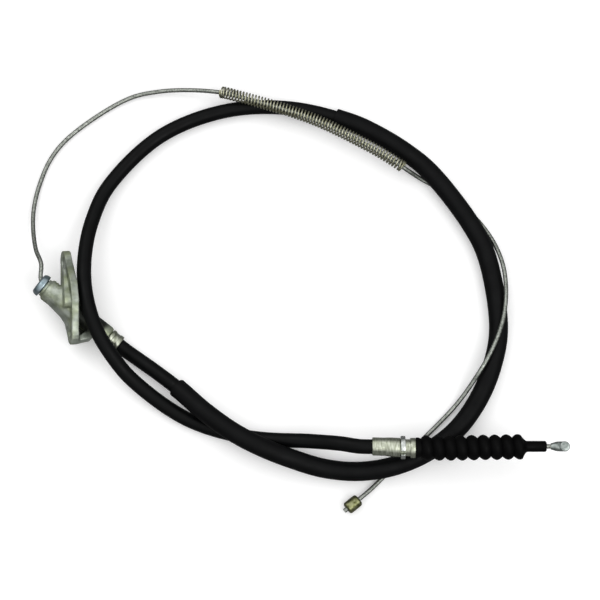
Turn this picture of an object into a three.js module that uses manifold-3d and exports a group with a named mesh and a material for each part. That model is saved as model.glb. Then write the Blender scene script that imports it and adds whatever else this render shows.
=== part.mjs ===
// Parking brake cable, lying loosely coiled. Millimetres, +Z up, floor at z = 0.
import * as THREE from 'three';
import { mergeVertices } from 'three/addons/utils/BufferGeometryUtils.js';
import { ConvexGeometry } from 'three/addons/geometries/ConvexGeometry.js';
import Module from 'manifold-3d';

const wasm = await Module();
wasm.setup();

// Clearances
const seat = 0.3;
const slideGap = 0.35;

// Wire strand, casing layers and protective sleeve: outer radii and walls
const strandRadius = 1.5;
const linerWall = 0.6;
const armourWall = 0.95;
const jacketRadius = 4.9;
const jacketWall = 0.85;
const sleeveWall = 0.95;
const layerGap = 0.16;
const cordSides = 8;
const casingSteps = 50;
const sleeveFromStep = 3;
const sleeveToStep = 26;
const strandSteps = 75;

// Mounting bracket: where its flange centre lies, its yaw and its lean, in degrees
const bracketAt = new THREE.Vector3(-155, -4.95, 17.3);
const bracketYaw = 7;
const bracketLean = 18;
const tubeTurn = 42;
const mouthAt = new THREE.Vector2(-16.5, 10);
const flangeThickness = 5;
const flangeHalfWidth = 16.6;
const boltSpacing = 50;
const boltHoleRadius = 3.3;
const earRadius = 7.6;
const bossRadius = 7.8;
const neckRadius = 7;
const neckEnd = 57.5;
const spigotLength = 3.5;
const bracketBore = 2.7;
const gussetThickness = 4;

// Mouth bush pressed into the boss
const bushRimRadius = 7.9;
const bushRimLength = 4;
const bushStemRadius = 5.2;
const bushStemLength = 6.5;
const funnelRadius = 6.2;

// Crimped ferrule on the bracket's neck
const bracketFerruleWall = 1.3;
const bracketFerruleLength = 8.7;
const crimpShare = 0.4;

// Fitting at the pull end: lengths along its axis from the casing's side
const crimpLength = 8;
const barrelLength = 10.2;
const ringGrooveLength = 3.7;
const plateGrooveLength = 2.9;
const collarLength = 3.4;
const spigotUnderBoot = 9.5;
const pullCrimpWall = 0.65;
const pullBarrelWall = 1.15;
const collarRadius = 6.6;
const bootSpigotRadius = 5;
const casingDepth = 11.7;
const ringRadius = 7.7;
const ringWall = 1.8;
const grooveRadius = ringRadius - ringWall - seat;
const ringSplit = 2.8;

// Bellows boot
const bootWall = 1.3;
const bootNeckRadius = 6.9;
const bootNeckLength = 5.2;
const crestRadius = 8.4;
const valleyRadius = 6;
const crestCount = 9;
const crestPitch = 7.53;
const noseRadius = 3.6;
const noseLength = 13.8;

// Nipple at the pull end and button at the other end
const bareLength = 2.8;
const shankLength = 5.9;
const shankRadius = 3.35;
const nippleRadius = 3.4;
const nippleLength = 10;
const nippleLean = 20;
const buttonRadius = 4.3;
const buttonLength = 11;
const strandTip = 0.8;

// Loose return spring on the free strand
const springRadius = 3.7;
const springWire = 0.55;
const springTurns = 63;
const springStepsPerTurn = 6;
const springSag = 0.65;
const springFrom = new THREE.Vector3(72.5, 89, 12.8);
const springTo = new THREE.Vector3(-52, 144, 10.7);

// Casing centreline, from the bracket's neck to the pull-end fitting
const casingRoute = [
  [-123.79, -32.37, 8.32],
  [-120.11, -35.09, 7.24],
  [-115.81, -38.26, 5.98],
  [-105.5, -45.5, 5.5],
  [-93.5, -54.5, 7.6],
  [-79, -66.5, 12.4],
  [-61, -83, 16.8],
  [-41, -97.5, 17.6],
  [-21.5, -107.5, 17],
  [-3, -114, 13],
  [18, -119.5, 8.6],
  [40.5, -121.5, 8.2],
  [63, -118.5, 9.9],
  [85, -109.5, 9.9],
  [106, -93.5, 8.3],
  [121.5, -72, 6.8],
  [131.5, -48, 6.7],
  [136, -22.5, 6.7],
  [129, 27, 7.6],
  [118.5, 49, 9.6],
  [91.5, 86, 10.3],
  [75, 101.5, 7.6],
  [56.5, 114, 6.7],
  [37, 123.5, 6.7],
  [-5, 134.5, 5.4],
  [-50, 132.5, 5.1],
  [-94.5, 114, 5.1],
  [-129, 77.5, 7],
  [-139, 52.5, 11.5],
  [-143, 25.5, 18.5],
  [-141.5, -1.5, 24.5],
  [-133.5, -28.5, 25.5],
  [-122, -47, 20],
  [-109.5, -60.5, 11.5],
  [-73.5, -85.5, 5.7],
  [-32.5, -98, 5.6],
  [10, -102.5, 14.8],
  [29, -105.5, 22.2],
  [41.44, -107.99, 25.4],
  [60.94, -107.99, 25.4],
];

// Free strand centreline, from the button to a little way inside the casing
const strandRoute = [
  [31.42, -147.19, 4.3],
  [41.08, -139.42, 4.3],
  [49, -132.5, 2.7],
  [56, -125.5, 1.7],
  [78.5, -104, 1.8],
  [102.5, -80, 2.3],
  [111.5, -69.5, 5.2],
  [123.5, -52.5, 13.4],
  [129.5, -42, 14.9],
  [134.5, -31, 15.6],
  [138.5, -18.5, 15.4],
  [140.5, -6.5, 14.6],
  [141, 5, 13.4],
  [140, 17.5, 11.6],
  [137, 29.5, 8.7],
  [132, 41.5, 5.2],
  [123.5, 54.5, 2.4],
  [112, 66.5, 1.7],
  [98.5, 76.5, 1.7],
  [85, 83.5, 4.2],
  [72.5, 89, 12.8],
  [64, 94.5, 14.3],
  [49, 103.5, 14.9],
  [10.5, 123.5, 13.9],
  [-39.5, 140, 13],
  [-52, 144, 10.7],
  [-73.5, 147.5, 6.2],
  [-96, 147.5, 3.4],
  [-118, 142.5, 2],
  [-157, 115.5, 1.7],
  [-170, 99, 1.7],
  [-177.5, 79.5, 1.7],
  [-180.5, 62.5, 3.5],
  [-180, 47, 8],
  [-176.5, 29, 16],
  [-171.91, 17.38, 21.4],
  [-171.39, 5.43, 22.17],
  [-165.53, -1.56, 20.56],
  [-148.3, -14.28, 15.51],
  [-122.78, -33.12, 8.02],
];

const finishes = {
  rubberBlack: [0x17191a, 0.62, 0],
  plasticBlack: [0x141617, 0.48, 0],
  linerWhite: [0xd8d8d0, 0.5, 0],
  steelArmour: [0x8d9092, 0.4, 0.9],
  strandSteel: [0x9a9c97, 0.38, 0.9],
  springSteel: [0xb4b09c, 0.32, 0.95],
  castZinc: [0xaab3a8, 0.4, 0.8],
  bushSteel: [0xa2b2ba, 0.25, 0.9],
  ferruleSteel: [0xc3c6bb, 0.28, 0.9],
  ringSteel: [0xcfd2cc, 0.25, 0.95],
  nippleSteel: [0xc9ccc9, 0.3, 0.9],
  buttonZinc: [0x9a9568, 0.42, 0.8],
};

const part = new THREE.Group();
part.name = 'parking_brake_cable';

function curveOf(points) {
  const curve = new THREE.CatmullRomCurve3(points.map((p) => new THREE.Vector3(...p)), false, 'centripetal');
  curve.arcLengthDivisions = 1600;
  return curve;
}

// A stretch of another curve, between two shares of its length
class Stretch extends THREE.Curve {
  constructor(whole, from, to) {
    super();
    this.whole = whole;
    this.from = from;
    this.to = to;
  }

  getPoint(t, target = new THREE.Vector3()) {
    return this.whole.getPointAt(this.from + (this.to - this.from) * t, target);
  }
}

// Wire centreline of a coil wound round a curve, with close end turns
class Winding extends THREE.Curve {
  constructor(core, radius, turns) {
    super();
    this.core = core;
    this.radius = radius;
    this.turns = turns;
    this.arcLengthDivisions = turns * springStepsPerTurn * 2;
  }

  getPoint(t, target = new THREE.Vector3()) {
    const point = this.core.getPointAt(t);
    const ahead = this.core.getTangentAt(t);
    const side = new THREE.Vector3(0, 0, 1).cross(ahead).normalize();
    const up = new THREE.Vector3().crossVectors(ahead, side);
    const turn = t * this.turns * Math.PI * 2;
    target.copy(point);
    target.addScaledVector(side, Math.cos(turn) * this.radius);
    target.addScaledVector(up, Math.sin(turn) * this.radius);
    return target;
  }
}

function solidOf(geometry) {
  const plain = geometry.clone();
  plain.deleteAttribute('normal');
  plain.deleteAttribute('uv');
  const merged = mergeVertices(plain, 1e-4);
  const mesh = new wasm.Mesh({
    numProp: 3,
    vertProperties: Float32Array.from(merged.attributes.position.array),
    triVerts: Uint32Array.from(merged.index.array),
  });
  return new wasm.Manifold(mesh);
}

function addNode(name, solid, finish) {
  const mesh = solid.getMesh();
  const geometry = new THREE.BufferGeometry();
  geometry.setAttribute('position', new THREE.BufferAttribute(mesh.vertProperties, 3));
  geometry.setIndex(new THREE.BufferAttribute(mesh.triVerts, 1));
  geometry.computeVertexNormals();
  const [color, roughness, metalness] = finishes[finish];
  const material = new THREE.MeshStandardMaterial({ color, roughness, metalness });
  material.name = finish;
  const node = new THREE.Mesh(geometry, material);
  node.name = name;
  part.add(node);
}

function polygon(radius, sides) {
  const points = [];
  for (let i = 0; i < sides; i += 1) {
    const turn = ((i + 0.5) / sides) * Math.PI * 2;
    points.push(new THREE.Vector2(Math.cos(turn) * radius, Math.sin(turn) * radius));
  }
  return points;
}

// Radius of a polygon's corners whose flats lie at the wanted radius
function cornersFor(flatRadius, sides) {
  return flatRadius / Math.cos(Math.PI / sides);
}

// A rod swept along a curve, hollow where a bore is given
function swept(curve, steps, radius, bore = 0, sides = cordSides) {
  const shape = new THREE.Shape(polygon(radius, sides));
  if (bore > 0) {
    shape.holes.push(new THREE.Path(polygon(bore, sides).reverse()));
  }
  return solidOf(new THREE.ExtrudeGeometry(shape, { steps, bevelEnabled: false, extrudePath: curve }));
}

// A body of revolution about +X from a closed list of [along, radius]
function turned(profile, sides = 24) {
  const closed = [...profile, profile[0]].map(([along, radius]) => new THREE.Vector2(radius, along));
  const geometry = new THREE.LatheGeometry(closed, sides);
  geometry.rotateZ(-Math.PI / 2);
  const solid = solidOf(geometry);
  return solid.volume() < 0 ? solidOf(flipped(geometry)) : solid;
}

function flipped(geometry) {
  const turnedOver = geometry.clone();
  const order = turnedOver.index.array;
  for (let i = 0; i < order.length; i += 3) {
    const first = order[i];
    order[i] = order[i + 1];
    order[i + 1] = first;
  }
  return turnedOver;
}

function blockOf(fromCorner, toCorner) {
  const size = toCorner.map((v, i) => v - fromCorner[i]);
  const geometry = new THREE.BoxGeometry(...size);
  geometry.translate(...toCorner.map((v, i) => (v + fromCorner[i]) / 2));
  return solidOf(geometry);
}

function hullOf(points) {
  return solidOf(new ConvexGeometry(points));
}

// Points of a circle round +X at a station
function circleAt(along, radius, sides = 20) {
  return polygon(radius, sides).map((p) => new THREE.Vector3(along, p.x, p.y));
}

function moved(solid, matrix) {
  return solid.transform(matrix.elements);
}

function shifted(x, y, z) {
  return new THREE.Matrix4().makeTranslation(x, y, z);
}

function degrees(value) {
  return THREE.MathUtils.degToRad(value);
}

// The bracket's own frame: X out of the flange's back, Y from ear to ear
function bracketPlace() {
  const place = shifted(bracketAt.x, bracketAt.y, bracketAt.z);
  place.multiply(new THREE.Matrix4().makeRotationZ(degrees(bracketYaw)));
  place.multiply(new THREE.Matrix4().makeRotationY(degrees(bracketLean)));
  return place;
}

// The cable tube's frame inside the bracket: X along the tube from its mouth
function tubePlace() {
  const place = shifted(mouthAt.x, mouthAt.y, 0);
  place.multiply(new THREE.Matrix4().makeRotationZ(degrees(-tubeTurn)));
  return place;
}

// Radii of the casing's layers, outside to inside
const jacketBore = cornersFor(jacketRadius - jacketWall, cordSides);
const armourRadius = jacketRadius - jacketWall - layerGap;
const armourBore = cornersFor(armourRadius * Math.cos(Math.PI / cordSides) - armourWall, cordSides);
const linerRadius = armourRadius * Math.cos(Math.PI / cordSides) - armourWall - layerGap;
const linerBore = cornersFor(linerRadius * Math.cos(Math.PI / cordSides) - linerWall, cordSides);
const sleeveBore = cornersFor(jacketRadius + seat, cordSides);
const sleeveRadius = sleeveBore + sleeveWall;
const ferruleBore = jacketRadius + seat;
const bracketFerruleRadius = ferruleBore + bracketFerruleWall;
const crimpDepth = bracketFerruleWall * crimpShare;
const pullCrimpRadius = ferruleBore + pullCrimpWall;
const pullBarrelRadius = ferruleBore + pullBarrelWall;
const pullFlatRadius = ferruleBore + pullCrimpWall * 0.65;

function buildCasing(curve) {
  addNode('casing_jacket', swept(curve, casingSteps, jacketRadius, jacketBore), 'plasticBlack');
  addNode('casing_armour', swept(curve, casingSteps, armourRadius, armourBore), 'steelArmour');
  addNode('casing_liner', swept(curve, casingSteps, linerRadius, linerBore), 'linerWhite');
  const stretch = new Stretch(curve, sleeveFromStep / casingSteps, sleeveToStep / casingSteps);
  const sleeveSteps = sleeveToStep - sleeveFromStep;
  addNode('protective_sleeve', swept(stretch, sleeveSteps, sleeveRadius, sleeveBore), 'rubberBlack');
}

function buildStrand(casingCurve, strandCurve) {
  const free = swept(strandCurve, strandSteps, strandRadius);
  const inside = swept(casingCurve, casingSteps, strandRadius);
  addNode('inner_strand', free.add(inside), 'strandSteel');
}

// The share of a curve's length at which it passes closest to a point
function shareNear(curve, point) {
  let best = 0;
  let least = Infinity;
  for (let i = 0; i <= 1000; i += 1) {
    const away = curve.getPointAt(i / 1000).distanceTo(point);
    if (away < least) {
      least = away;
      best = i / 1000;
    }
  }
  return best;
}

function buildSpring(strandCurve) {
  const core = new Stretch(strandCurve, shareNear(strandCurve, springFrom), shareNear(strandCurve, springTo));
  core.arcLengthDivisions = 400;
  const wire = swept(new Winding(core, springRadius, springTurns), springTurns * springStepsPerTurn,
    springWire, 0, 4);
  addNode('return_spring', moved(wire, shifted(0, 0, springSag)), 'springSteel');
}

function flangePlate() {
  const half = boltSpacing / 2;
  const outline = [];
  for (const end of [1, -1]) {
    for (let i = 0; i <= 8; i += 1) {
      const turn = (i / 8) * Math.PI;
      outline.push(new THREE.Vector2(Math.cos(turn) * earRadius * end, (half + Math.sin(turn) * earRadius) * end));
    }
    outline.push(new THREE.Vector2(-flangeHalfWidth * end, end * 6));
    outline.push(new THREE.Vector2(-flangeHalfWidth * end, -end * 6));
  }
  const shape = new THREE.Shape(outline);
  for (const end of [1, -1]) {
    const hole = polygon(cornersFor(boltHoleRadius, 16), 16).map((p) => new THREE.Vector2(p.x, p.y + half * end));
    shape.holes.push(new THREE.Path(hole.reverse()));
  }
  const geometry = new THREE.ExtrudeGeometry(shape, { depth: flangeThickness, bevelEnabled: false });
  geometry.rotateY(Math.PI / 2);
  return solidOf(geometry);
}

function mapped(points, matrix) {
  return points.map((p) => p.applyMatrix4(matrix));
}

// Tapered front boss, running out into the flange's face
function bossBody(tube) {
  const stemEnd = bushRimLength - 0.7;
  const grooveEnd = stemEnd + 2;
  const coreRadius = bushStemRadius + 1.2;
  const core = turned([[stemEnd, 0], [stemEnd, coreRadius], [grooveEnd + 1, coreRadius], [grooveEnd + 1, 0]], 20);
  const drum = turned([[grooveEnd, 0], [grooveEnd, bossRadius - 0.5], [grooveEnd + 0.6, bossRadius],
    [24, bossRadius], [24, 0]], 20);
  const root = [];
  for (const p of polygon(1, 16)) {
    root.push(new THREE.Vector3(1, -4.5 + p.x * 15.5, p.y * 11.5));
  }
  const flare = hullOf([...mapped(circleAt(11, bossRadius - 0.2), tube), ...root]);
  return moved(core, tube).add(moved(drum, tube)).add(flare);
}

// Raised ribs on the front, from the ears towards the boss
function frontRibs() {
  const upper = hullOf([
    ...mapped(circleAt(-1.6, 3, 8), shifted(0, 16.5, 4)), ...mapped(circleAt(1, 3.4, 8), shifted(0, 16.5, 4)),
    ...mapped(circleAt(-4.5, 4, 8), shifted(0, -6, 10)), ...mapped(circleAt(1, 4, 8), shifted(0, -6, 12)),
  ]);
  const lower = hullOf([
    ...mapped(circleAt(-1.2, 2, 8), shifted(0, -17.5, -2)), ...mapped(circleAt(1, 3, 8), shifted(0, -17.5, -2)),
    ...mapped(circleAt(-6, 4, 8), shifted(0, -5, -3)), ...mapped(circleAt(1, 6, 8), shifted(0, -5, -3)),
  ]);
  return upper.add(lower);
}

// Tubular neck behind the flange with its gussets
function neckBody(tube) {
  const barrel = turned([[20, 0], [20, bossRadius], [27, bossRadius - 0.3], [37, neckRadius], [neckEnd - 1.5, neckRadius],
    [neckEnd, neckRadius - 0.6], [neckEnd, 4.9], [neckEnd + spigotLength, 4.9], [neckEnd + spigotLength, 0]], 20);
  const half = gussetThickness / 2;
  const low = (p, z) => new THREE.Vector3(p[0], p[1], z);
  const floorShape = [[2, 14], [2, -27], [8, -27.5], [15, -25.5], [18, -17], [13, -9]];
  const floor = hullOf(floorShape.flatMap((p) => [low(p, -half - 5), low(p, half - 5)]));
  const barShape = [[flangeThickness - 1, -31.5], [flangeThickness - 1, -28.6], [13, -23], [17, -25.5],
    [14.5, -29.5]];
  const bar = hullOf(barShape.flatMap((p) => [low(p, -6), low(p, 3.5)]));
  const ridgeShape = [[2, 20], [2, 0], [12, -8], [20, -20]];
  const ridge = hullOf(ridgeShape.flatMap((p) => [low(p, -1.6), low(p, 1.6)]));
  return moved(barrel, tube).add(floor).add(bar).add(ridge);
}

function buildBracket() {
  const place = bracketPlace();
  const tube = tubePlace();
  const stemEnd = bushRimLength - 0.7;
  const bore = turned([[-5, 0], [-5, cornersFor(bracketBore, 16)], [80, cornersFor(bracketBore, 16)], [80, 0]], 16);
  const socketRadius = bushStemRadius + seat;
  const socketEnd = stemEnd + bushStemLength + seat;
  const socket = turned([[-5, 0], [-5, socketRadius], [socketEnd, socketRadius], [socketEnd, 0]], 24);
  let body = flangePlate().add(bossBody(tube)).add(frontRibs()).add(neckBody(tube));
  body = body.subtract(moved(bore, tube)).subtract(moved(socket, tube));
  addNode('mounting_bracket', moved(body, place), 'castZinc');

  const whole = place.clone().multiply(tube);
  const throat = cornersFor(bracketBore - 0.2, 18);
  const bush = turned([[-1, funnelRadius], [-1, bushRimRadius - 1.4], [0.3, bushRimRadius],
    [stemEnd - seat, bushRimRadius], [stemEnd - seat, bushStemRadius], [socketEnd - seat, bushStemRadius],
    [socketEnd - seat, throat], [5, throat]], 18);
  addNode('mouth_bush', moved(bush, whole), 'bushSteel');

  const from = neckEnd + seat;
  const length = bracketFerruleLength;
  const outer = turned([[from, ferruleBore], [from, bracketFerruleRadius - 0.3], [from + 0.4, bracketFerruleRadius],
    [from + length * 0.24, bracketFerruleRadius], [from + length * 0.32, bracketFerruleRadius - crimpDepth],
    [from + length * 0.68, bracketFerruleRadius - crimpDepth], [from + length * 0.76, bracketFerruleRadius],
    [from + length - 0.4, bracketFerruleRadius], [from + length, bracketFerruleRadius - 0.4],
    [from + length, ferruleBore + 0.5], [from + length / 2, ferruleBore + 0.05]], 20);
  addNode('bracket_ferrule', moved(outer, whole), 'ferruleSteel');
}

// Place of the pull-end fitting: X along its axis from the casing's side
function pullPlace() {
  const end = casingRoute[casingRoute.length - 1];
  return shifted(end[0] - casingDepth + 0.2, end[1], end[2]);
}

const ringFrom = crimpLength + barrelLength;
const plateFrom = ringFrom + ringGrooveLength;
const collarFrom = plateFrom + plateGrooveLength;
const bootFrom = collarFrom + collarLength + seat;
const fittingEnd = bootFrom + spigotUnderBoot;
const firstCrest = bootFrom + bootNeckLength + 1.9;
const noseFrom = firstCrest + crestPitch * (crestCount - 1) + 4.5;
const bootEnd = noseFrom + noseLength;

function buildFitting() {
  const place = pullPlace();
  const bore = cornersFor(ferruleBore, 20);
  const strandBore = cornersFor(strandRadius + slideGap, 12);
  const body = turned([[0, bore], [0, pullCrimpRadius], [crimpLength, pullCrimpRadius],
    [crimpLength, pullCrimpRadius + 0.15], [ringFrom - 4, pullBarrelRadius], [ringFrom, pullBarrelRadius],
    [ringFrom, grooveRadius], [collarFrom, grooveRadius], [collarFrom, collarRadius],
    [collarFrom + collarLength, collarRadius], [collarFrom + collarLength, bootSpigotRadius],
    [fittingEnd, bootSpigotRadius], [fittingEnd, strandBore],
    [casingDepth + seat, strandBore], [casingDepth + seat, bore]], 20);
  const keep = turned([[-1, 0], [-1, cornersFor(pullFlatRadius, 6)],
    [crimpLength - 0.4, cornersFor(pullFlatRadius, 6)], [crimpLength + 0.6, ringRadius * 1.4],
    [fittingEnd + 5, ringRadius * 1.4], [fittingEnd + 5, 0]], 6);
  addNode('pull_end_fitting', moved(body.intersect(keep), place), 'ferruleSteel');

  const ringBore = cornersFor(grooveRadius + seat, 28);
  const ring = turned([[ringFrom + seat, ringBore], [ringFrom + seat, ringRadius - 0.4],
    [ringFrom + seat + 0.4, ringRadius], [plateFrom - 0.7, ringRadius], [plateFrom - seat, ringRadius - 0.4],
    [plateFrom - seat, ringBore]], 28);
  const split = blockOf([ringFrom - 1, -ringSplit / 2, -ringRadius - 1], [plateFrom + 1, ringSplit / 2, 0]);
  const turn = new THREE.Matrix4().makeRotationX(degrees(-140));
  addNode('snap_ring', moved(ring.subtract(moved(split, turn)), place), 'ringSteel');
}

function bootProfile() {
  const outer = [[bootFrom, bootNeckRadius - 0.5], [bootFrom + 0.5, bootNeckRadius],
    [bootFrom + bootNeckLength, bootNeckRadius]];
  const inner = [[bootFrom, bootSpigotRadius + seat], [bootFrom + bootNeckLength - 0.6, bootSpigotRadius + seat]];
  for (let i = 0; i < crestCount; i += 1) {
    const at = firstCrest + i * crestPitch;
    outer.push([at - 0.9, crestRadius], [at + 0.9, crestRadius]);
    inner.push([at, crestRadius - bootWall]);
    if (i < crestCount - 1) {
      outer.push([at + crestPitch / 2 - 0.8, valleyRadius], [at + crestPitch / 2 + 0.8, valleyRadius]);
      inner.push([at + crestPitch / 2, valleyRadius - bootWall]);
    }
  }
  const noseBore = cornersFor(strandRadius + slideGap, 20);
  outer.push([noseFrom, noseRadius + 0.6], [noseFrom + 1, noseRadius], [bootEnd - 1, noseRadius],
    [bootEnd, noseRadius - 1]);
  inner.push([noseFrom - 0.3, noseBore + 0.6], [noseFrom + 1, noseBore], [bootEnd, noseBore]);
  return [...outer, ...inner.reverse()];
}

function buildPullEnd() {
  const place = pullPlace();
  addNode('dust_boot', moved(turned(bootProfile(), 18), place), 'rubberBlack');

  const nippleAt = bootEnd + bareLength + shankLength + nippleRadius - 0.6;
  const from = casingDepth + 0.9;
  const to = nippleAt - nippleRadius - shankLength + 3;
  const pull = turned([[from, 0], [from, strandRadius], [to, strandRadius], [to, 0]], 12);
  addNode('pull_strand', moved(pull, place), 'strandSteel');

  const shankFrom = bootEnd + bareLength;
  const shank = turned([[shankFrom, 0], [shankFrom, shankRadius * 0.62], [shankFrom + 2.4, shankRadius * 0.82],
    [shankFrom + 5.2, shankRadius], [nippleAt, shankRadius], [nippleAt, 0]], 16);
  const barrel = turned([[-nippleLength / 2, 0], [-nippleLength / 2, nippleRadius - 0.6],
    [-nippleLength / 2 + 0.6, nippleRadius], [nippleLength / 2 - 0.6, nippleRadius],
    [nippleLength / 2, nippleRadius - 0.6], [nippleLength / 2, 0]], 20);
  const stand = new THREE.Matrix4().makeRotationY(degrees(90 - nippleLean + 180));
  const socket = turned([[shankFrom - 1, 0], [shankFrom - 1, cornersFor(strandRadius + seat, 12)],
    [to + seat, cornersFor(strandRadius + seat, 12)], [to + seat, 0]], 12);
  const nipple = moved(barrel, shifted(nippleAt, 0, 0).multiply(stand)).add(shank).subtract(socket);
  addNode('pull_nipple', moved(nipple, place), 'nippleSteel');
}

function buildButton() {
  const tip = new THREE.Vector3(...strandRoute[0]);
  const ahead = new THREE.Vector3(...strandRoute[1]).sub(tip).normalize();
  const turn = Math.atan2(ahead.y, ahead.x);
  const place = shifted(tip.x, tip.y, tip.z).multiply(new THREE.Matrix4().makeRotationZ(turn));
  const bore = cornersFor(strandRadius + seat, 20);
  const from = strandTip;
  const to = from + buttonLength;
  const body = turned([[from, bore], [from, buttonRadius - 0.6], [from + 0.6, buttonRadius],
    [to - 1, buttonRadius], [to, buttonRadius - 1], [to, bore]], 20);
  addNode('strand_button', moved(body, place), 'buttonZinc');
}

const casingCurve = curveOf(casingRoute);
const strandCurve = curveOf(strandRoute);
buildCasing(casingCurve);
buildStrand(casingCurve, strandCurve);
buildSpring(strandCurve);
buildButton();
buildBracket();
buildFitting();
buildPullEnd();

export default part;
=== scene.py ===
import math
import bpy
from mathutils import Matrix, Vector, noise


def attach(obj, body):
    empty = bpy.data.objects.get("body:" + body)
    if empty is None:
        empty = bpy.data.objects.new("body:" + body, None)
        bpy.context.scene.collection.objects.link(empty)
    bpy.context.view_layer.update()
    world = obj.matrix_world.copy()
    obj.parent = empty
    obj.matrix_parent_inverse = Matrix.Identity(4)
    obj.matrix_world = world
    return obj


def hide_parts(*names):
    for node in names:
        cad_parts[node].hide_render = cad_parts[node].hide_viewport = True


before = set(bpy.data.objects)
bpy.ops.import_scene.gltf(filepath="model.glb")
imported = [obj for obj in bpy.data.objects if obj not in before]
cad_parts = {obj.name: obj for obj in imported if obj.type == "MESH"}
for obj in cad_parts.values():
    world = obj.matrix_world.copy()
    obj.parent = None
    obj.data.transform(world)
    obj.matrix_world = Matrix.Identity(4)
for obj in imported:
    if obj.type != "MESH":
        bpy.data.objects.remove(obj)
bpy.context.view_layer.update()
print("stage: frame loaded, parking brake cable")

mm = 0.001

# camera, at the angle of the photo
view = {
    "elevation": 75.0,        # degrees above the floor
    "distance": 1.4,
    "width": 0.408,           # what the picture spans at the floor
    "lookAt": (0.0021, -0.00195, 0.0),
}


def makeCamera():
    bpy.ops.object.camera_add()
    camera = bpy.context.active_object
    camera.name = "camera"
    tilt = math.radians(view["elevation"])
    back = Vector((0, -math.cos(tilt), math.sin(tilt))) * view["distance"]
    camera.location = Vector(view["lookAt"]) + back
    camera.rotation_euler = (math.radians(90) - tilt, 0, 0)
    camera.data.sensor_width = 36
    camera.data.lens = 36 * view["distance"] / view["width"]
    camera.data.clip_end = 20
    bpy.context.scene.camera = camera


makeCamera()


# helpers for modelling by hand
def deselectAll():
    if bpy.context.object and bpy.context.object.mode != "OBJECT":
        bpy.ops.object.mode_set(mode="OBJECT")
    bpy.ops.object.select_all(action="DESELECT")


def pick(obj):
    deselectAll()
    obj.select_set(True)
    bpy.context.view_layer.objects.active = obj


def applyAll(obj):
    pick(obj)
    for modifier in list(obj.modifiers):
        bpy.ops.object.modifier_apply(modifier=modifier.name)


def smoothBy(obj, angle):
    pick(obj)
    bpy.ops.object.shade_smooth_by_angle(angle=math.radians(angle))


def outward(obj):
    pick(obj)
    bpy.ops.object.mode_set(mode="EDIT")
    bpy.ops.mesh.select_all(action="SELECT")
    bpy.ops.mesh.remove_doubles(threshold=0.000002)
    bpy.ops.mesh.normals_make_consistent(inside=False)
    bpy.ops.object.mode_set(mode="OBJECT")


# centripetal spline through given points, cut at equal lengths
def smoothRoute(points, step):
    pts = [Vector(p) for p in points]
    pts = [pts[0] * 2 - pts[1]] + pts + [pts[-1] * 2 - pts[-2]]
    fine = []
    for i in range(1, len(pts) - 2):
        p0, p1, p2, p3 = pts[i - 1:i + 3]
        d0, d1, d2 = (max((b - a).length, 1e-9) ** 0.5 for a, b in ((p0, p1), (p1, p2), (p2, p3)))
        m1 = ((p1 - p0) / d0 - (p2 - p0) / (d0 + d1) + (p2 - p1) / d1) * d1
        m2 = ((p2 - p1) / d1 - (p3 - p1) / (d1 + d2) + (p3 - p2) / d2) * d1
        for k in range(40):
            t = k / 40
            fine.append(p1 + m1 * t + (-3 * p1 + 3 * p2 - 2 * m1 - m2) * t ** 2
                        + (2 * p1 - 2 * p2 + m1 + m2) * t ** 3)
    fine.append(pts[-2])
    lengths = [0.0]
    for a, b in zip(fine, fine[1:]):
        lengths.append(lengths[-1] + (b - a).length)
    count = max(2, round(lengths[-1] / step))
    path, j = [], 0
    for i in range(count + 1):
        want = lengths[-1] * i / count
        while j < len(fine) - 2 and lengths[j + 1] < want:
            j += 1
        share = (want - lengths[j]) / max(lengths[j + 1] - lengths[j], 1e-12)
        path.append(fine[j].lerp(fine[j + 1], share))
    return path


def routeLength(path):
    return sum((b - a).length for a, b in zip(path, path[1:]))


def partOf(path, fromLength, toLength):
    step = routeLength(path) / (len(path) - 1)
    return path[round(fromLength / step):round(toLength / step) + 1]


# a frame that doesn't twist at each point of a path
def framesAlong(path):
    frames = []
    side = Vector((0, 0, 1))
    for i, p in enumerate(path):
        ahead = (path[min(i + 1, len(path) - 1)] - path[max(i - 1, 0)]).normalized()
        side = (side - ahead * side.dot(ahead)).normalized()
        frames.append((p, ahead, side, ahead.cross(side)))
    return frames


def meshPiece(name, verts, faces):
    mesh = bpy.data.meshes.new(name)
    mesh.from_pydata([tuple(v) for v in verts], [], faces)
    mesh.validate()
    obj = bpy.data.objects.new(name, mesh)
    bpy.context.scene.collection.objects.link(obj)
    return obj


# a tube whose radius, and bore if it has one, are functions of the distance along and the turn
def tubePiece(name, path, radiusAt, sides, boreAt=None):
    verts, faces = [], []
    rings = len(path)
    frames = framesAlong(path)
    step = routeLength(path) / (rings - 1)
    layers = [radiusAt] if boreAt is None else [radiusAt, boreAt]
    for layer in layers:
        for i, (p, ahead, side, up) in enumerate(frames):
            for k in range(sides):
                turn = 2 * math.pi * k / sides
                r = layer(i * step, turn)
                verts.append(p + side * math.cos(turn) * r + up * math.sin(turn) * r)
    for i in range(rings - 1):
        for k in range(sides):
            a, b = i * sides + k, i * sides + (k + 1) % sides
            faces.append((a, b, b + sides, a + sides))
    if boreAt is None:
        faces.append(tuple(range(sides - 1, -1, -1)))
        faces.append(tuple(range((rings - 1) * sides, rings * sides)))
    else:
        base = rings * sides
        for i in range(rings - 1):
            for k in range(sides):
                a, b = base + i * sides + k, base + i * sides + (k + 1) % sides
                faces.append((a, a + sides, b + sides, b))
        for k in range(sides):
            n = (k + 1) % sides
            faces.append((k, base + k, base + n, n))
            end = (rings - 1) * sides
            faces.append((end + k, end + n, base + end + n, base + end + k))
    obj = meshPiece(name, verts, faces)
    outward(obj)
    return obj


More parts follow.
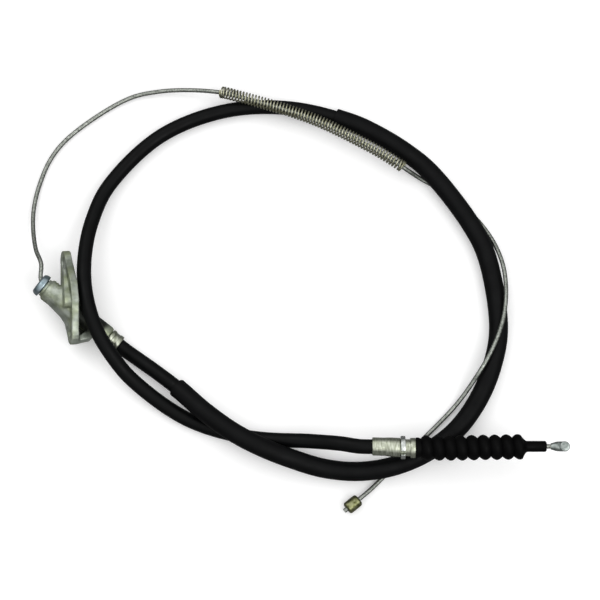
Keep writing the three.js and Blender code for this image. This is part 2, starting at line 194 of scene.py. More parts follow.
# walks a ring of edges along a profile of (along, radius) in millimetres, back to its start or to an end cap
def turnedPiece(name, profile, sides, place, closed=True):
    deselectAll()
    along, radius = profile[0]
    bpy.ops.mesh.primitive_circle_add(vertices=sides, radius=radius * mm, fill_type="NOTHING",
                                      location=(along * mm, 0, 0), rotation=(0, math.pi / 2, 0))
    obj = bpy.context.active_object
    obj.name = name
    obj.data.name = name
    bpy.ops.object.transform_apply(location=True, rotation=True, scale=True)
    bpy.ops.object.mode_set(mode="EDIT")
    bpy.ops.mesh.select_all(action="SELECT")
    for nextAlong, nextRadius in profile[1:] + (profile[:1] if closed else []):
        move = ((nextAlong - along) * mm, 0, 0)
        bpy.ops.mesh.extrude_region_move(TRANSFORM_OT_translate={"value": move})
        scale = nextRadius / radius
        bpy.ops.transform.resize(value=(1, scale, scale), center_override=(nextAlong * mm, 0, 0))
        along, radius = nextAlong, nextRadius
    if not closed:
        bpy.ops.mesh.edge_face_add()
        bpy.ops.mesh.select_all(action="DESELECT")
        bpy.ops.object.mode_set(mode="OBJECT")
        for edge in obj.data.edges:
            a, b = (obj.data.vertices[v].co.x for v in edge.vertices)
            edge.select = abs(a - profile[0][0] * mm) < 1e-7 and abs(b - profile[0][0] * mm) < 1e-7
        bpy.ops.object.mode_set(mode="EDIT")
        bpy.ops.mesh.select_mode(type="EDGE")
        bpy.ops.mesh.edge_face_add()
    bpy.ops.object.mode_set(mode="OBJECT")
    outward(obj)
    if place is not None:
        obj.data.transform(place)
    return obj


def softened(obj, width, segments=2, angle=30):
    bevel = obj.modifiers.new("edge", "BEVEL")
    bevel.width = width * mm
    bevel.segments = segments
    bevel.limit_method = "ANGLE"
    bevel.angle_limit = math.radians(angle)
    applyAll(obj)


def joined(main, others):
    deselectAll()
    for obj in others:
        obj.select_set(True)
    main.select_set(True)
    bpy.context.view_layer.objects.active = main
    bpy.ops.object.join()
    return main


def inPlace(piece, node, body):
    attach(piece, body)
    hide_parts(node)


# the two routes, in metres: the casing from bracket to fitting, the strand from button to bracket
casingRoute = [
    (-0.12379, -0.03237, 0.00832), (-0.12011, -0.03509, 0.00724), (-0.11581, -0.03826, 0.00598),
    (-0.1055, -0.0455, 0.0055), (-0.0935, -0.0545, 0.0076), (-0.079, -0.0665, 0.0124),
    (-0.061, -0.083, 0.0168), (-0.041, -0.0975, 0.0176), (-0.0215, -0.1075, 0.017),
    (-0.003, -0.114, 0.013), (0.018, -0.1195, 0.0086), (0.0405, -0.1215, 0.0082), (0.063, -0.1185, 0.0099),
    (0.085, -0.1095, 0.0099), (0.106, -0.0935, 0.0083), (0.1215, -0.072, 0.0068), (0.1315, -0.048, 0.0067),
    (0.136, -0.0225, 0.0067), (0.129, 0.027, 0.0076), (0.1185, 0.049, 0.0096), (0.0915, 0.086, 0.0103),
    (0.075, 0.1015, 0.0076), (0.0565, 0.114, 0.0067), (0.037, 0.1235, 0.0067), (-0.005, 0.1345, 0.0054),
    (-0.05, 0.1325, 0.0051), (-0.0945, 0.114, 0.0051), (-0.129, 0.0775, 0.007), (-0.139, 0.0525, 0.0115),
    (-0.143, 0.0255, 0.0185), (-0.1415, -0.0015, 0.0245), (-0.1335, -0.0285, 0.0255),
    (-0.122, -0.047, 0.02), (-0.1095, -0.0605, 0.0115), (-0.0735, -0.0855, 0.0057),
    (-0.0325, -0.098, 0.0056), (0.01, -0.1025, 0.0148), (0.029, -0.1055, 0.0222),
    (0.04144, -0.10799, 0.0254), (0.06094, -0.10799, 0.0254),
]
strandRoute = [
    (0.03142, -0.14719, 0.0043), (0.04108, -0.13942, 0.0043), (0.049, -0.1325, 0.0027),
    (0.056, -0.1255, 0.0017), (0.0785, -0.104, 0.0018), (0.1025, -0.08, 0.0023), (0.1115, -0.0695, 0.0052),
    (0.1235, -0.0525, 0.0134), (0.1295, -0.042, 0.0149), (0.1345, -0.031, 0.0156),
    (0.1385, -0.0185, 0.0154), (0.1405, -0.0065, 0.0146), (0.141, 0.005, 0.0134), (0.14, 0.0175, 0.0116),
    (0.137, 0.0295, 0.0087), (0.132, 0.0415, 0.0052), (0.1235, 0.0545, 0.0024), (0.112, 0.0665, 0.0017),
    (0.0985, 0.0765, 0.0017), (0.085, 0.0835, 0.0042), (0.0725, 0.089, 0.0128), (0.064, 0.0945, 0.0143),
    (0.049, 0.1035, 0.0149), (0.0105, 0.1235, 0.0139), (-0.0395, 0.14, 0.013), (-0.052, 0.144, 0.0107),
    (-0.0735, 0.1475, 0.0062), (-0.096, 0.1475, 0.0034), (-0.118, 0.1425, 0.002), (-0.157, 0.1155, 0.0017),
    (-0.17, 0.099, 0.0017), (-0.1775, 0.0795, 0.0017), (-0.1805, 0.0625, 0.0035), (-0.18, 0.047, 0.008),
    (-0.1765, 0.029, 0.016), (-0.17191, 0.01738, 0.0214), (-0.17139, 0.00543, 0.02217),
    (-0.16553, -0.00156, 0.02056), (-0.1483, -0.01428, 0.01551), (-0.12278, -0.03312, 0.00802),
]


# materials
def newMaterial(name):
    material = bpy.data.materials.new(name)
    material.use_nodes = True
    nodes = material.node_tree.nodes
    return material, nodes, material.node_tree.links, nodes["Principled BSDF"]


def addNoise(nodes, links, scale, detail=4, stretch=(1, 1, 1), turn=(0, 0, 0)):
    coord = nodes.new("ShaderNodeTexCoord")
    mapping = nodes.new("ShaderNodeMapping")
    mapping.inputs["Scale"].default_value = stretch
    mapping.inputs["Rotation"].default_value = turn
    tex = nodes.new("ShaderNodeTexNoise")
    tex.inputs["Scale"].default_value = scale
    tex.inputs["Detail"].default_value = detail
    links.new(coord.outputs["Object"], mapping.inputs["Vector"])
    links.new(mapping.outputs["Vector"], tex.inputs["Vector"])
    return tex


def addRamp(nodes, links, source, stops):
    ramp = nodes.new("ShaderNodeValToRGB")
    elements = ramp.color_ramp.elements
    while len(elements) < len(stops):
        elements.new(0.5)
    for element, (place, color) in zip(elements, stops):
        element.position = place
        element.color = (*color, 1)
    links.new(source, ramp.inputs["Fac"])
    return ramp


def addBump(nodes, links, shader, source, strength, distance):
    bump = nodes.new("ShaderNodeBump")
    bump.inputs["Strength"].default_value = strength
    bump.inputs["Distance"].default_value = distance
    links.new(source, bump.inputs["Height"])
    previous = shader.inputs["Normal"].links
    if previous:
        links.new(previous[0].from_socket, bump.inputs["Normal"])
    links.new(bump.outputs["Normal"], shader.inputs["Normal"])


# roughness that wanders between two values
def setRoughness(nodes, links, shader, source, rough):
    ramp = addRamp(nodes, links, source.outputs["Fac"], [(0.3, (rough[0],) * 3), (0.7, (rough[1],) * 3)])
    links.new(ramp.outputs["Color"], shader.inputs["Roughness"])


# multiplies one colour by another
def addMultiply(nodes, links, base):
    mix = nodes.new("ShaderNodeMix")
    mix.data_type = "RGBA"
    mix.blend_type = "MULTIPLY"
    mix.inputs["Factor"].default_value = 1.0
    links.new(base, mix.inputs["A"])
    return mix


# black rubber or plastic: two tones, a fine grain and patchy gloss
def blackMaterial(name, dark, light, rough, grain, grainScale, gloss):
    material, nodes, links, shader = newMaterial(name)
    shader.inputs["Specular IOR Level"].default_value = gloss
    patches = addNoise(nodes, links, 60)
    tone = addRamp(nodes, links, patches.outputs["Fac"], [(0.3, dark), (0.75, light)])
    links.new(tone.outputs["Color"], shader.inputs["Base Color"])
    sheen = addNoise(nodes, links, 140)
    setRoughness(nodes, links, shader, sheen, rough)
    fine = addNoise(nodes, links, grainScale, 6)
    addBump(nodes, links, shader, fine.outputs["Fac"], grain, 0.0002)
    return material


# bare or plated metal: tone, gloss and fine relief, all uneven
def metalMaterial(name, dark, light, rough, toneScale, relief, reliefScale, metallic=1.0, stretch=(1, 1, 1)):
    material, nodes, links, shader = newMaterial(name)
    patches = addNoise(nodes, links, toneScale, 5, stretch)
    tone = addRamp(nodes, links, patches.outputs["Fac"], [(0.32, dark), (0.7, light)])
    links.new(tone.outputs["Color"], shader.inputs["Base Color"])
    gloss = addNoise(nodes, links, toneScale * 2.3, 5, stretch)
    setRoughness(nodes, links, shader, gloss, rough)
    shader.inputs["Metallic"].default_value = metallic
    fine = addNoise(nodes, links, reliefScale, 6, stretch)
    addBump(nodes, links, shader, fine.outputs["Fac"], relief, 0.0002)
    return material


# die-cast zinc: grey-green with olive patches, darkened by painted shade where the shade attribute says
def castMaterial(name, *tones):
    material = metalMaterial(name, *tones)
    nodes, links = material.node_tree.nodes, material.node_tree.links
    shader = nodes["Principled BSDF"]
    stain = addNoise(nodes, links, 95, 3)
    amount = addRamp(nodes, links, stain.outputs["Fac"], [(0.46, (0, 0, 0)), (0.66, (0.55, 0.55, 0.55))])
    olive = addMultiply(nodes, links, shader.inputs["Base Color"].links[0].from_socket)
    links.new(amount.outputs["Color"], olive.inputs["Factor"])
    olive.inputs["B"].default_value = (0.92, 0.96, 0.58, 1)
    # painted shade: the shade attribute darkens the base colour in the pocket behind the flange, where shadow
    # falls
    shadeAttribute = nodes.new("ShaderNodeAttribute")
    shadeAttribute.attribute_name = "shade"
    dim = addMultiply(nodes, links, olive.outputs["Result"])
    links.new(shadeAttribute.outputs["Color"], dim.inputs["B"])
    links.new(dim.outputs["Result"], shader.inputs["Base Color"])
    return material


# dark tone, light tone, roughness from and to, grain, grain scale, gloss
blacks = {
    "jacketPlastic": ((0.0012, 0.0014, 0.0015), (0.0028, 0.0032, 0.0034), (0.36, 0.52), 0.12, 2600, 0.1),
    "sleeveRubber": ((0.0012, 0.0013, 0.0015), (0.003, 0.0033, 0.0036), (0.42, 0.6), 0.2, 2200, 0.1),
    "bootRubber": ((0.0008, 0.0008, 0.0009), (0.0018, 0.0018, 0.0019), (0.48, 0.64), 0.16, 1800, 0.06),
}
# dark tone, light tone, roughness from and to, tone scale, relief, relief scale, how metallic, stretch
metals = {
    "strandSteel": ((0.13, 0.14, 0.125), (0.42, 0.44, 0.4), (0.34, 0.5), 900, 0.1, 4000),
    "springSteel": ((0.24, 0.24, 0.13), (0.66, 0.66, 0.54), (0.24, 0.4), 700, 0.08, 4000),
    "bushSteel": ((0.2, 0.27, 0.3), (0.42, 0.5, 0.54), (0.28, 0.42), 300, 0.1, 2500),
    "ferruleSteel": ((0.28, 0.3, 0.22), (0.6, 0.63, 0.53), (0.26, 0.42), 260, 0.15, 2500, 1.0, (4, 1, 1)),
    "ringSteel": ((0.46, 0.49, 0.47), (0.72, 0.75, 0.72), (0.2, 0.34), 400, 0.1, 2500),
    "nippleSteel": ((0.16, 0.185, 0.175), (0.44, 0.48, 0.46), (0.3, 0.46), 500, 0.35, 1800),
    "buttonZinc": ((0.085, 0.09, 0.03), (0.34, 0.35, 0.2), (0.28, 0.46), 420, 0.3, 1800),
    "armourSteel": ((0.25, 0.25, 0.25), (0.4, 0.4, 0.4), (0.4, 0.55), 180, 0.15, 900),
    "linerPlastic": ((0.6, 0.6, 0.55), (0.72, 0.72, 0.68), (0.4, 0.5), 180, 0.15, 900, 0.0),
}
castTones = ((0.2, 0.225, 0.18), (0.5, 0.54, 0.48), (0.4, 0.6), 130, 0.4, 1300, 0.85)

finishes = {name: blackMaterial(name, *tones) for name, tones in blacks.items()}
finishes.update({name: metalMaterial(name, *tones) for name, tones in metals.items()})
finishes["castMetal"] = castMaterial("castMetal", *castTones)
print("stage: finishes made")


def finish(obj, name):
    obj.data.materials.clear()
    obj.data.materials.append(finishes[name])


# the casing: a thin jacket the whole way and a thicker sleeve over part of it
casing = {
    "jacketRadius": 4.9,     # radii in mm
    "jacketBore": 4.15,
    "jacketWaviness": 0.03,
    "jacketSides": 24,
    "step": 0.004,
    "sleeveRadius": 6.45,
    "sleeveBore": 5.15,
    "sleeveWaviness": 0.07,
    "sleeveSides": 28,
    "sleeveFrom": 0.0574,    # along the casing, in metres
    "sleeveTo": 0.5429,
    "lip": 0.22,             # how far the sleeve's cut ends stand out, mm
    "lipLength": 0.006,
    "edge": 0.35,            # how far the outermost ring is rounded off, mm
    "edgeLength": 0.0005,
}

casingPath = smoothRoute(casingRoute, casing["step"])


def makeJacket():
    def outer(along, turn):
        wave = noise.noise(Vector((along * 60, turn, 0)))
        return (casing["jacketRadius"] + casing["jacketWaviness"] * wave) * mm

    def bore(along, turn):
        return casing["jacketBore"] * mm
    piece = tubePiece("jacketTube", casingPath, outer, casing["jacketSides"], bore)
    finish(piece, "jacketPlastic")
    smoothBy(piece, 40)
    inPlace(piece, "casing_jacket", "cable")
    return piece


def makeSleeve():
    path = partOf(casingPath, casing["sleeveFrom"], casing["sleeveTo"])
    length = routeLength(path)

    def outer(along, turn):
        r = casing["sleeveRadius"]
        near = min(along, length - along)
        if near < casing["lipLength"]:
            r += casing["lip"] * (1 - near / casing["lipLength"])
        if near < casing["edgeLength"]:
            r -= casing["edge"]
        return (r + casing["sleeveWaviness"] * noise.noise(Vector((along * 35, math.cos(turn), 3)))) * mm

    def bore(along, turn):
        return casing["sleeveBore"] * mm
    # an extra ring at each end rounds off the cut edge
    finer = [path[0], path[0].lerp(path[1], 0.14)] + path[1:-1] + [path[-1].lerp(path[-2], 0.14), path[-1]]
    piece = tubePiece("sleeveTube", finer, outer, casing["sleeveSides"], bore)
    finish(piece, "sleeveRubber")
    smoothBy(piece, 40)
    inPlace(piece, "protective_sleeve", "cable")
    return piece


jacket = makeJacket()
sleeve = makeSleeve()


# the bare strand: twisted bundles, from the button to inside the bracket's mouth
strand = {
    "radius": 1.5,
    "groove": 0.3,
    "bundles": 8,
    "lay": 0.022,            # length of one full twist
    "perBundle": 5,          # sides of the tube for each bundle
    "step": 0.0013,
}

strandPath = smoothRoute(strandRoute, strand["step"])


def twisted(along, turn):
    phase = (turn - 2 * math.pi * along / strand["lay"]) * strand["bundles"] / 2
    return (strand["radius"] - strand["groove"] * (1 - abs(math.cos(phase)) ** 0.7)) * mm


def makeStrand():
    piece = tubePiece("bareStrand", strandPath, twisted, strand["bundles"] * strand["perBundle"])
    finish(piece, "strandSteel")
    smoothBy(piece, 50)
    inPlace(piece, "inner_strand", "cable")
    return piece


bareStrand = makeStrand()
print("stage: strand, length", round(routeLength(strandPath), 4))


# the return spring, wound round the strand's own line, with closed end turns
spring = {
    "radius": 3.7,
    "wire": 0.55,
    "turns": 63,
    "sag": 0.65,
    "from": (0.0725, 0.0890, 0.0128),
    "to": (-0.0520, 0.1440, 0.0107),
    "perTurn": 24,
    "closedTurns": 1.6,      # at each end, and how far apart they lie in wire radii
    "closedPitch": 2.08,
    "wireSides": 8,
}


def nearestOn(path, point):
    return min(range(len(path)), key=lambda i: (path[i] - Vector(point)).length)


def makeSpring():
    i, j = sorted((nearestOn(strandPath, spring["from"]), nearestOn(strandPath, spring["to"])))
    core = strandPath[i:j + 1]
    frames = framesAlong(core)
    length = routeLength(core)
    closedTurns = spring["closedTurns"]
    closedLength = closedTurns * spring["wire"] * spring["closedPitch"] * mm
    openLength, openTurns = length - 2 * closedLength, spring["turns"] - 2 * closedTurns
    points = []
    count = spring["turns"] * spring["perTurn"]
    for k in range(count + 1):
        turns = k / spring["perTurn"]
        left = spring["turns"] - turns
        if turns < closedTurns:
            at = closedLength * turns / closedTurns
        elif left < closedTurns:
            at = length - closedLength * left / closedTurns
        else:
            at = closedLength + openLength * (turns - closedTurns) / openTurns
        place = at / length * (len(core) - 1)
        n = min(int(place), len(core) - 2)
        centre = core[n].lerp(core[n + 1], place - n)
        side, up = frames[n][2], frames[n][3]
        angle = turns * 2 * math.pi
        points.append(centre + (side * math.cos(angle) + up * math.sin(angle)) * spring["radius"] * mm
                      + Vector((0, 0, spring["sag"] * mm)))
    piece = tubePiece("springWire", points, lambda along, turn: spring["wire"] * mm, spring["wireSides"])
    finish(piece, "springSteel")
    smoothBy(piece, 60)
    inPlace(piece, "return_spring", "cable")
    return piece


springWire = makeSpring()
print("stage: return spring")


# the die-cast bracket: the solid's own form with cast, rounded edges
bracket = {
    "at": (-0.155, -0.00495, 0.0173),
    "yaw": 7,
    "lean": 18,
    "mouth": (-0.0165, 0.010, 0),
    "tubeTurn": -42,
    "grid": 0.00048,
    "rounding": 5,
    "keep": 0.6,             # share of the faces kept after the rounding
    "ringsFrom": 5.6,        # shallow turned rings behind the bush, along the tube in mm
    "ringsTo": 12,
    "ringsRadii": (7, 9.2),
    "ringsPitch": 2.1,
    "ringsDepth": 0.16,
    "pocketShade": 0.93,        # how dark the painted shade in the pocket behind the flange is
}


def turnAbout(axis, angle):
    return Matrix.Rotation(math.radians(angle), 4, axis)


def clamped(value):
    return max(0.0, min(1.0, value))


bracketPlace = Matrix.Translation(bracket["at"]) @ turnAbout("Z", bracket["yaw"])
bracketPlace = bracketPlace @ turnAbout("Y", bracket["lean"])
tubePlace = bracketPlace @ Matrix.Translation(bracket["mouth"]) @ turnAbout("Z", bracket["tubeTurn"])


def makeBracket():
    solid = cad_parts["mounting_bracket"]
    piece = bpy.data.objects.new("castBracket", solid.data.copy())
    bpy.context.scene.collection.objects.link(piece)
    piece.data.materials.clear()
    outward(piece)
    grid = piece.modifiers.new("grid", "REMESH")
    grid.mode = "VOXEL"
    grid.voxel_size = bracket["grid"]
    soft = piece.modifiers.new("rounding", "SMOOTH")
    soft.factor = 0.5
    soft.iterations = bracket["rounding"]
    thin = piece.modifiers.new("thin", "DECIMATE")
    thin.ratio = bracket["keep"]
    applyAll(piece)
    mouthBack, castBack = tubePlace.inverted(), bracketPlace.inverted()
    shade = piece.data.color_attributes.new("shade", "FLOAT_COLOR", "POINT")
    normals = [v.normal.copy() for v in piece.data.vertices]
    inner, outer = bracket["ringsRadii"]
    for v, normal, paintedShade in zip(piece.data.vertices, normals, shade.data):
        along, y, z = mouthBack @ v.co / mm
        if bracket["ringsFrom"] < along < bracket["ringsTo"] and inner < math.hypot(y, z) < outer:
            wave = math.sin(2 * math.pi * along / bracket["ringsPitch"])
            v.co += normal * bracket["ringsDepth"] * mm * wave
        # painted shade: upward faces in the pocket behind the flange, under the casing, are darkened as if in
        # shadow
        local = castBack @ v.co / mm
        behind = clamped((local.x - 5.1) / 1.2) * clamped((54 - along) / 3)
        facingUp = clamped(normal.z * 1.6 + 0.35) * clamped((8 - local.y) / 6)
        inPocket = clamped((local.y + 27) / 2.5)
        dark = 1 - bracket["pocketShade"] * behind * facingUp * inPocket
        paintedShade.color = (dark, dark, dark, 1)
    finish(piece, "castMetal")
    smoothBy(piece, 50)
    inPlace(piece, "mounting_bracket", "cable")
    return piece


makeBracket()
print("stage: bracket")

# turned pieces round the bracket's tube, lengths along the tube in mm
bushShape = {
    "profile": [(-1.2, 4.9), (-1.55, 5.4), (-1.5, 6.1), (-1.0, 6.9), (-0.2, 7.45), (0.8, 7.75), (2.0, 7.85),
                (2.7, 7.8), (2.95, 7.5), (2.95, 5.15), (9.2, 5.15), (9.2, 2.55), (5, 2.55), (3, 3.0), (1, 3.7)],
    "edge": 0.18,
}
bracketFerruleShape = {
    "profile": [(57.85, 5.3), (57.85, 6.15), (58.2, 6.5), (59.9, 6.5), (60.3, 6.35), (60.7, 5.98), (63.4, 5.98),
                (63.8, 6.35), (64.2, 6.5), (66.0, 6.5), (66.45, 6.15), (66.45, 5.75), (62, 5.3)],
    "edge": 0.12,
}


def makeTurned(name, shape, finishName, node):
    piece = turnedPiece(name, shape["profile"], 64, tubePlace)
    softened(piece, shape["edge"])
    finish(piece, finishName)
    smoothBy(piece, 35)
    inPlace(piece, node, "cable")


makeTurned("mouthBush", bushShape, "bushSteel", "mouth_bush")
makeTurned("bracketFerrule", bracketFerruleShape, "ferruleSteel", "bracket_ferrule")
print("stage: bush and bracket ferrule")

# the fitting at the pull end, lengths along its own axis in mm
pullEnd = {
    "at": (0.04944, -0.10799, 0.0254),
    "sag": [(0, 0), (8, -0.2), (18, -0.8), (28, -1.05), (52, -1.05), (80, -0.55), (96, -0.3), (104, 0),
            (200, 0)],
    "crimp": 8.0,
    "flat": 5.66,            # from the axis to each pressed flat
    "ring": 18.2,
    "collar": 24.8,
    "spigotEnd": 38.0,
    "padAt": (4.9, -0.5),    # the raised pad on the top flat
    "padSize": (5.8, 3.2, 0.3),
    "bore": 4.4,             # what lies nearer to the axis keeps its line
}

pullPlace = Matrix.Translation(pullEnd["at"])


# the fitting and the boot hang a little below the strand's line
def sagAt(along):
    for (a, low), (b, high) in zip(pullEnd["sag"], pullEnd["sag"][1:]):
        if a <= along <= b:
            t = (along - a) / (b - a)
            return (low + (high - low) * t * t * (3 - 2 * t)) * mm
    return 0.0


def sagPiece(piece, clearRadius):
    for v in piece.data.vertices:
        if math.hypot(v.co.y, v.co.z) > clearRadius * mm:
            v.co.y += sagAt(v.co.x / mm)


def makeFitting():
    p = pullEnd
    crimp, ring, collar, end = p["crimp"], p["ring"], p["collar"], p["spigotEnd"]
    profile = [(0, 5.3), (0, 5.75), (0.4, 5.95), (2, 5.95), (4, 5.95), (6, 5.95), (crimp - 0.2, 5.95),
               (crimp + 0.4, 5.9), (crimp + 1, 6.05), (13.5, 6.35), (ring - 0.3, 6.35), (ring, 6.1),
               (ring, 5.6), (collar, 5.6), (collar, 6.4), (collar + 0.25, 6.6), (28.0, 6.6), (28.25, 6.4),
               (28.25, 5.0), (end, 5.0), (end, 1.9), (12.1, 1.9), (12.1, 5.3)]
    piece = turnedPiece("pullFitting", profile, 72, None)
    for v in piece.data.vertices:        # six pressed flats on the crimped end
        r = math.hypot(v.co.y, v.co.z) / mm
        if v.co.x < (crimp - 0.1) * mm and r > 5.5:
            turn = math.atan2(v.co.z, v.co.y)
            away = turn % (math.pi / 3) - math.pi / 6
            flat = p["flat"] / math.cos(away)
            if flat < r:
                v.co.y *= flat / r
                v.co.z *= flat / r
    deselectAll()
    bpy.ops.mesh.primitive_cube_add(size=1, location=[at * mm for at in (*p["padAt"], p["flat"])])
    pad = bpy.context.active_object
    pad.dimensions = [size * mm for size in p["padSize"]]
    bpy.ops.object.transform_apply(location=True, rotation=True, scale=True)
    softened(pad, 0.08)
    sagPiece(piece, p["bore"])
    softened(piece, 0.1)
    piece = joined(piece, [pad])
    piece.data.transform(pullPlace)
    finish(piece, "ferruleSteel")
    smoothBy(piece, 28)
    inPlace(piece, "pull_end_fitting", "cable")
    return piece


# the split ring, in mm; its gap's place in degrees round the axis
snapRing = {
    "inner": 5.95,
    "outer": 7.7,
    "from": 18.55,
    "to": 21.55,
    "gapAt": 130,
    "gap": 2.8,
    "edge": 0.3,
    "sagsAt": 20,            # the whole ring sags as the fitting does here
}


def makeSnapRing():
    s = snapRing
    half = s["gap"] / 2 / s["outer"]
    start = math.radians(s["gapAt"]) + half
    sweep = 2 * math.pi - 2 * half
    deselectAll()
    middle = ((s["from"] + s["to"]) / 2 * mm, (s["inner"] + s["outer"]) / 2 * mm, 0)
    bpy.ops.mesh.primitive_plane_add(size=1, location=middle)
    piece = bpy.context.active_object
    piece.name = "snapRing"
    piece.data.name = "snapRing"
    piece.scale = ((s["to"] - s["from"]) * mm, (s["outer"] - s["inner"]) * mm, 1)
    bpy.ops.object.transform_apply(location=True, rotation=True, scale=True)
    piece.data.transform(Matrix.Rotation(start, 4, "X"))
    bpy.ops.object.mode_set(mode="EDIT")
    bpy.ops.mesh.select_all(action="SELECT")
    bpy.ops.mesh.spin(steps=72, angle=-sweep, center=(0, 0, 0), axis=(1, 0, 0), dupli=False)
    bpy.ops.object.mode_set(mode="OBJECT")
    outward(piece)
    for v in piece.data.vertices:
        v.co.y += sagAt(s["sagsAt"])
    piece.data.transform(pullPlace)
    softened(piece, s["edge"], 3, 50)
    finish(piece, "ringSteel")
    smoothBy(piece, 35)
    inPlace(piece, "snap_ring", "cable")
    return piece


pullFitting = makeFitting()
splitRing = makeSnapRing()
print("stage: pull-end fitting and snap ring")

# the bellows boot
boot = {
    "crest": 8.35,
    "valley": 6.2,
    "crests": 9,
    "first": 35.6,
    "pitch": 7.53,
    "lean": 0.104,           # how far the crests lean back, mm per mm
    "nose": 3.6,
    "noseFrom": 100.3,
    "end": 114.1,
    "wall": 1.3,
    "tipBore": 1.95,
}


def makeBoot():
    b = boot
    outer = [(28.35, 6.3), (28.5, 6.75), (29.0, 6.9), (30.4, 6.8)]
    last = b["first"] + (b["crests"] - 1) * b["pitch"]
    along = b["first"] - b["pitch"] * 0.5
    while along < last + b["pitch"] * 0.3:
        wave = abs(math.cos(math.pi * (along - b["first"]) / b["pitch"])) ** 0.9
        outer.append((along, b["valley"] + (b["crest"] - b["valley"]) * wave))
        along += b["pitch"] / 16
    fromAlong, fromRadius = outer[-1]
    for k in range(1, 9):               # the last fold runs down into the nose
        t = k / 8
        outer.append((fromAlong + (b["noseFrom"] + 1.2 - fromAlong) * t,
                      b["nose"] + (fromRadius - b["nose"]) * (1 - t) ** 1.7))
    outer += [(110, b["nose"]), (b["end"] - 1.3, b["nose"]), (b["end"] - 0.6, b["nose"] - 0.2),
              (b["end"] - 0.15, b["nose"] - 0.7), (b["end"], b["nose"] - 1.3)]
    inner = [(28.35, 5.35), (34, 5.35)]
    for k in range(b["crests"]):
        at = b["first"] + k * b["pitch"]
        inner.append((at, b["crest"] - b["wall"]))
        if k < b["crests"] - 1:
            inner.append((at + b["pitch"] / 2, b["valley"] - b["wall"]))
    inner += [(b["noseFrom"], 2.3), (b["noseFrom"] + 1.5, b["tipBore"]), (b["end"], b["tipBore"])]
    piece = turnedPiece("bellowsBoot", outer + inner[::-1], 56, None)
    for v in piece.data.vertices:
        a = v.co.x / mm
        fade = clamped(min((a - 31) / 4, (103 - a) / 6))
        v.co.x -= b["lean"] * v.co.y * fade
    sagPiece(piece, b["nose"] + 0.1)
    piece.data.transform(pullPlace)
    finish(piece, "bootRubber")
    smoothBy(piece, 60)
    inPlace(piece, "dust_boot", "cable")
    return piece


# the strand's sliding end and its nipple
nipple = {
    "strandFrom": 12.6,
    "strandInside": 3,       # how far the strand runs into the shank
    "shankFrom": 116.9,
    "shank": 3.3,
    "at": 125.9,
    "radius": 3.35,
    "length": 10.0,
    "lean": 5,
    "roll": 11,
    "bore": 1.85,
}


def makePullStrand():
    a, b = nipple["strandFrom"] * mm, (nipple["shankFrom"] + nipple["strandInside"]) * mm
    count = round((b - a) / strand["step"])
    path = [Vector((a + (b - a) * i / count, 0, 0)) + Vector(pullEnd["at"]) for i in range(count + 1)]
    piece = tubePiece("slidingStrand", path, twisted, strand["bundles"] * strand["perBundle"])
    finish(piece, "strandSteel")
    smoothBy(piece, 50)
    inPlace(piece, "pull_strand", "pull_end")
    return piece


def makeNipple():
    n = nipple
    f, r, half, bore = n["shankFrom"], n["radius"], n["length"] / 2, n["bore"]
    cone = [(f, bore), (f, 2.05), (f + 1.2, 2.35), (f + 2.6, 2.8), (f + 4.2, 3.2), (f + 6, n["shank"]),
            (n["at"], n["shank"]), (n["at"], bore)]
    shank = turnedPiece("pullNipple", cone, 48, pullPlace)
    across = [(-half, 0.4), (-half, r - 0.5), (-half + 0.15, r - 0.2), (-half + 0.5, r), (half - 0.5, r),
              (half - 0.15, r - 0.2), (half, r - 0.5), (half, 0.4)]
    barrel = turnedPiece("crossBarrel", across, 48, None, closed=False)
    barrel.data.transform(turnAbout("X", n["roll"]) @ turnAbout("Y", 90 - n["lean"] + 180))
    barrel.data.transform(Matrix.Translation((n["at"] * mm, 0, 0)))
    barrel.data.transform(pullPlace)
    piece = joined(shank, [barrel])
    finish(piece, "nippleSteel")
    smoothBy(piece, 35)
    inPlace(piece, "pull_nipple", "pull_end")
    return piece


bellowsBoot = makeBoot()
slidingStrand = makePullStrand()
pullNipple = makeNipple()
print("stage: boot, sliding strand and nipple")

# the button swaged on the strand's free end
button = {
    "radius": 4.25,
    "length": 10.1,
    "tip": 2.2,              # how much of the strand's end stands out
    "bore": 1.75,
}


def makeButton():
    tip = Vector(strandRoute[0])
    ahead = (Vector(strandRoute[1]) - tip).normalized()
    place = Matrix.Translation(tip) @ Matrix.Rotation(math.atan2(ahead.y, ahead.x), 4, "Z")
    a, b = button["tip"], button["tip"] + button["length"]
    r, bore = button["radius"], button["bore"]
    profile = [(a, bore), (a, 3.3), (a + 0.25, 3.75), (a + 0.8, r - 0.05), (a + 1.2, r), (b - 1.5, r),
               (b - 0.9, r - 0.15), (b - 0.3, r - 0.6), (b, r - 1.2), (b, bore)]
    piece = turnedPiece("strandButton", profile, 56, place)
    softened(piece, 0.1)
    finish(piece, "buttonZinc")
    smoothBy(piece, 35)
    inPlace(piece, "strand_button", "cable")
    return piece


strandButton = makeButton()
print("stage: button")

for nodeName, finishName in (("casing_armour", "armourSteel"), ("casing_liner", "linerPlastic")):
    finish(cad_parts[nodeName], finishName)


# floor, soft lamps and a white surround
studio = {
    "floorTone": 0.86,
    "floorSeen": 0.22,       # how bright shiny metal sees the floor
    "floorGlow": 0.2,
    "lampPower": 9,
    "lampSize": 1.2,
    "sky": [(0.08, 0.1), (0.3, 0.4), (0.66, 0.95), (0.95, 1.25)],    # height and brightness
}


def addLamp(name, place, power):
    bpy.ops.object.light_add(type="AREA", location=place)
    lamp = bpy.context.active_object
    lamp.name = name
    lamp.data.shape = "DISK"
    lamp.data.size = studio["lampSize"]
    lamp.data.energy = power
    lamp.rotation_euler = (-Vector(place)).to_track_quat("-Z", "Y").to_euler()


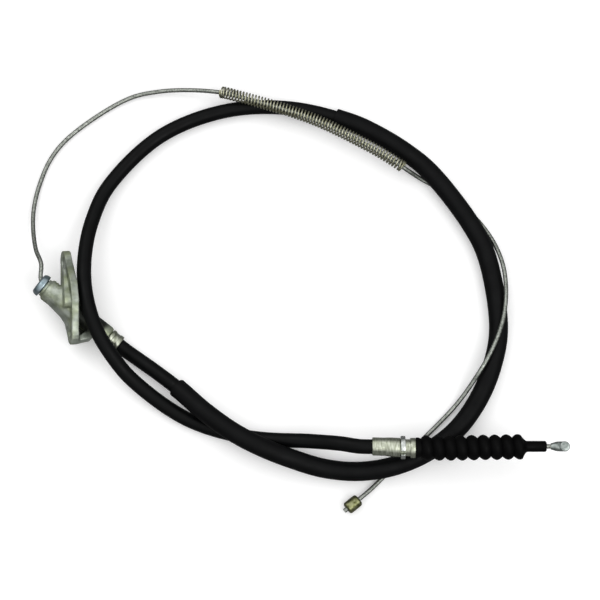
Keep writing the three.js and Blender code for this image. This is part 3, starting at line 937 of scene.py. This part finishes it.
def makeFloor():
    deselectAll()
    bpy.ops.mesh.primitive_plane_add(size=6, location=(0, 0, -0.0003))
    floor = bpy.context.active_object
    floor.name = "floor"
    material, nodes, links, shader = newMaterial("floorPaper")
    shader.inputs["Base Color"].default_value = (studio["floorTone"],) * 3 + (1,)
    shader.inputs["Roughness"].default_value = 0.9
    light = nodes.new("ShaderNodeLightPath")
    glow = nodes.new("ShaderNodeEmission")
    power = nodes.new("ShaderNodeMath")
    power.operation = "MULTIPLY"
    power.inputs[1].default_value = studio["floorGlow"]
    links.new(light.outputs["Is Camera Ray"], power.inputs[0])
    links.new(power.outputs[0], glow.inputs["Strength"])
    both = nodes.new("ShaderNodeAddShader")
    links.new(shader.outputs[0], both.inputs[0])
    links.new(glow.outputs[0], both.inputs[1])
    dull = nodes.new("ShaderNodeEmission")
    dull.inputs["Strength"].default_value = studio["floorSeen"]
    choose = nodes.new("ShaderNodeMixShader")
    links.new(light.outputs["Is Glossy Ray"], choose.inputs[0])
    links.new(both.outputs[0], choose.inputs[1])
    links.new(dull.outputs[0], choose.inputs[2])
    links.new(choose.outputs[0], nodes["Material Output"].inputs["Surface"])
    floor.data.materials.append(material)


def makeWorld():
    world = bpy.data.worlds.new("surround")
    bpy.context.scene.world = world
    world.use_nodes = True
    nodes, links = world.node_tree.nodes, world.node_tree.links
    back = nodes["Background"]
    coord = nodes.new("ShaderNodeTexCoord")
    parts = nodes.new("ShaderNodeSeparateXYZ")
    links.new(coord.outputs["Generated"], parts.inputs[0])
    sky = addRamp(nodes, links, parts.outputs["Z"], [(place, (tone,) * 3) for place, tone in studio["sky"]])
    light = nodes.new("ShaderNodeLightPath")
    mix = nodes.new("ShaderNodeMix")
    mix.data_type = "RGBA"
    mix.inputs["B"].default_value = (1, 1, 1, 1)
    links.new(light.outputs["Is Camera Ray"], mix.inputs["Factor"])
    links.new(sky.outputs["Color"], mix.inputs["A"])
    links.new(mix.outputs["Result"], back.inputs["Color"])


makeFloor()
makeWorld()
addLamp("keyLamp", (0.9, -0.8, 1.5), studio["lampPower"])
addLamp("fillLamp", (-0.9, 0.9, 1.6), studio["lampPower"] * 0.5)
bpy.context.scene.view_settings.view_transform = "Standard"
print("stage: floor, lamps and surround")
